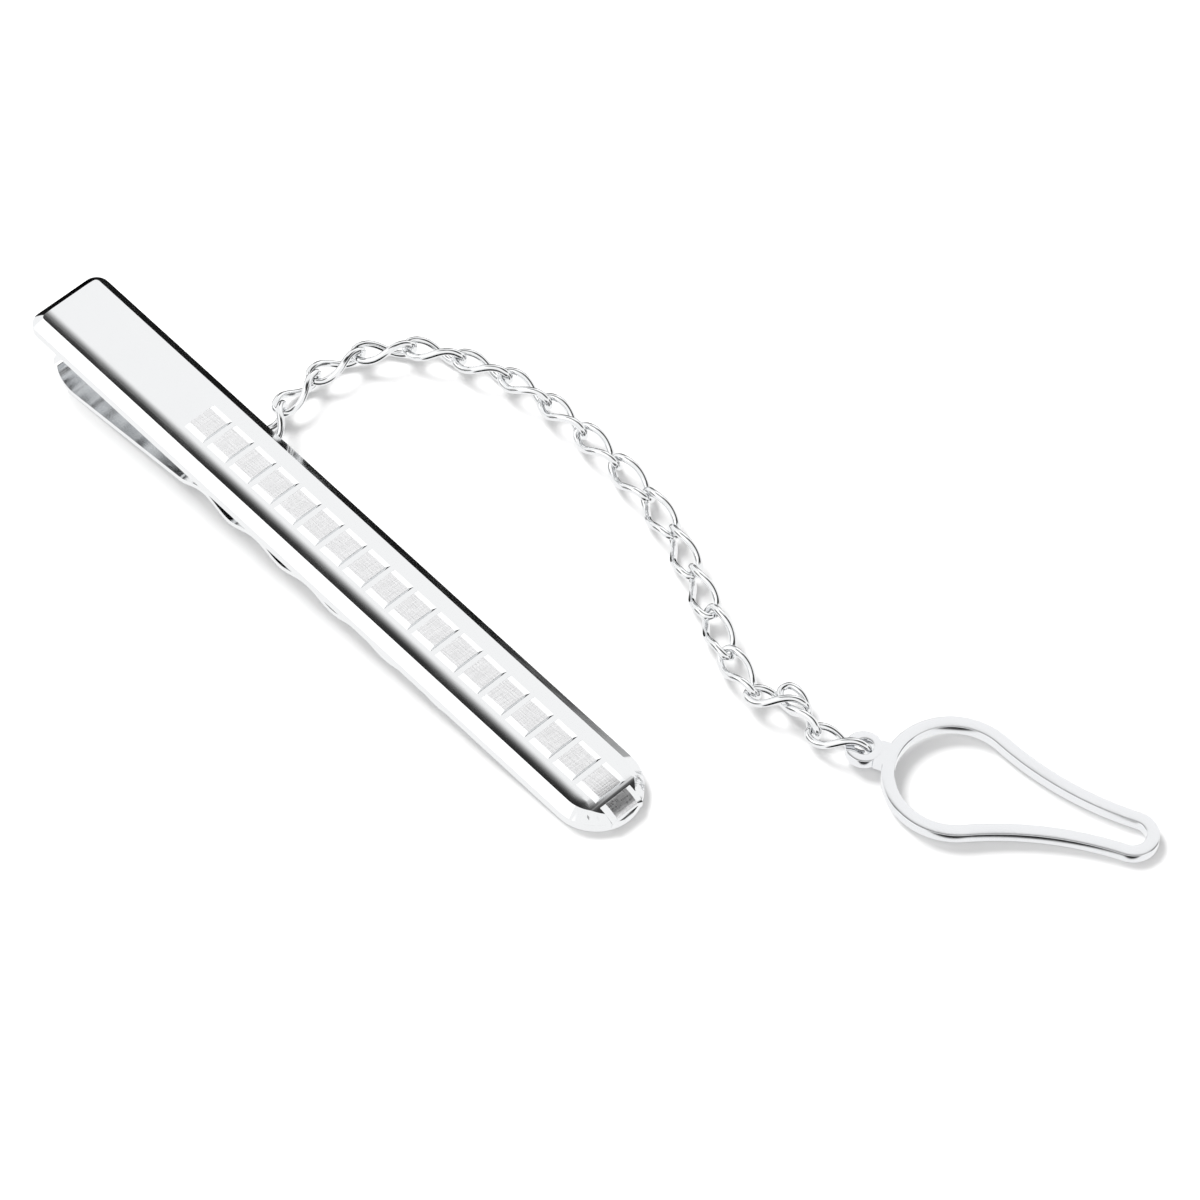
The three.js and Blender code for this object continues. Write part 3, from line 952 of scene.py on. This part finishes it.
# Each card: the way it lies, the angle in degrees where it is full, where it ends, and how dark it
# is. A card whose darkness is under zero adds light.
CARDS = [
    ((-0.64, 0.67, -0.36), 19.5, 22, 0.99),  # low behind: the far chamfer and the square end
    ((-0.90, 0.30, -0.35), 12, 17, 0.99),  # past the square end
    ((-0.34, 0.06, 0.94), 4, 16, 0.97),  # overhead: the crown beside the near chamfer
    ((-0.05, 0.14, 0.99), 8, 16, 0.90),  # overhead, towards the tip
    ((0.34, 0.40, 0.85), 15, 29, 0.96),  # overhead, past the tip: the rolled top
    ((0.88, 0.38, -0.30), 9, 15, 0.70),  # low past the tip: the sides of the grooves
    ((0.68, -0.65, -0.33), 29, 38, 0.98),  # under the camera: the lower sides of the wires
    ((0.77, 0.62, 0.10), 16, 24, 0.96),  # beyond the chain
    ((-0.60, -0.78, 0.10), 14, 22, 0.94),  # low on the near left
    ((-0.72, 0.66, 0.22), 9, 16, 0.90),  # behind: the upper sides of the wires
    ((-0.38, -0.55, 0.74), 22, 33, -0.30),  # a bright one on the near left: the near chamfer
    ((-0.40, 0.80, 0.42), 8, 16, -0.30),  # a bright one behind: the far slopes of the pads
]

world = bpy.data.worlds.new("studio")
bpy.context.scene.world = world
world.use_nodes = True
sky = world.node_tree
direction = add_node(sky, "ShaderNodeTexCoord").outputs["Generated"]
light_left = None
for way, full, ends, darkness in CARDS:
    towards = add_node(
        sky,
        "ShaderNodeVectorMath",
        {"operation": "DOT_PRODUCT", 1: Vector(way).normalized()},
        {0: direction},
    )
    let_through = add_node(
        sky,
        "ShaderNodeMapRange",
        {
            "interpolation_type": "SMOOTHSTEP",
            "From Min": math.cos(math.radians(ends)),
            "From Max": math.cos(math.radians(full)),
            "To Min": 1.0,
            "To Max": 1.0 - darkness,
        },
        {"Value": towards.outputs["Value"]},
    ).outputs["Result"]
    if light_left is None:
        light_left = let_through
    else:
        product = add_node(
            sky, "ShaderNodeMath", {"operation": "MULTIPLY"}, {0: light_left, 1: let_through}
        )
        light_left = product.outputs["Value"]
background = sky.nodes["Background"]
sky.links.new(light_left, background.inputs["Strength"])
background.inputs["Color"].default_value = (TENT, TENT, TENT, 1.0)

lamp_data = bpy.data.lights.new("soft lamp", "AREA")
lamp_data.shape = "DISK"
lamp_data.size = LAMP_SIZE
lamp_data.energy = LAMP_WATTS
lamp = bpy.data.objects.new("soft lamp", lamp_data)
lamp.visible_glossy = False
lamp.location = LAMP_PLACE
lamp.rotation_euler = (-LAMP_PLACE).to_track_quat("-Z", "Y").to_euler()
bpy.context.scene.collection.objects.link(lamp)
bpy.context.scene.view_settings.view_transform = "Standard"
print("cards:", len(CARDS))

# %% [markdown]
# ## Camera
# A long lens looks down on the object from its near right side. The camera's distance and lens
# follow the perspective of a small product on a table, and it looks at a point a little off the
# middle of the object.

# %% Camera
AZIMUTH = math.radians(46.315)
ELEVATION = math.radians(52.6)
DISTANCE = 420.26 * MM
LOOK_AT = Vector((1.08, 0.65, 0.04)) * MM
LENS_MM = 174.0
SENSOR_MM = 36.0

camera_data = bpy.data.cameras.new("camera")
camera_data.lens = LENS_MM
camera_data.sensor_width = SENSOR_MM
camera_data.clip_start = 0.01
camera = bpy.data.objects.new("camera", camera_data)
back = Vector(
    (
        math.sin(AZIMUTH) * math.cos(ELEVATION),
        -math.cos(AZIMUTH) * math.cos(ELEVATION),
        math.sin(ELEVATION),
    )
)
camera.location = LOOK_AT + back * DISTANCE
camera.rotation_euler = (-back).to_track_quat("-Z", "Y").to_euler()
bpy.context.scene.collection.objects.link(camera)
bpy.context.scene.camera = camera
print("camera at", [round(c, 3) for c in camera.location])
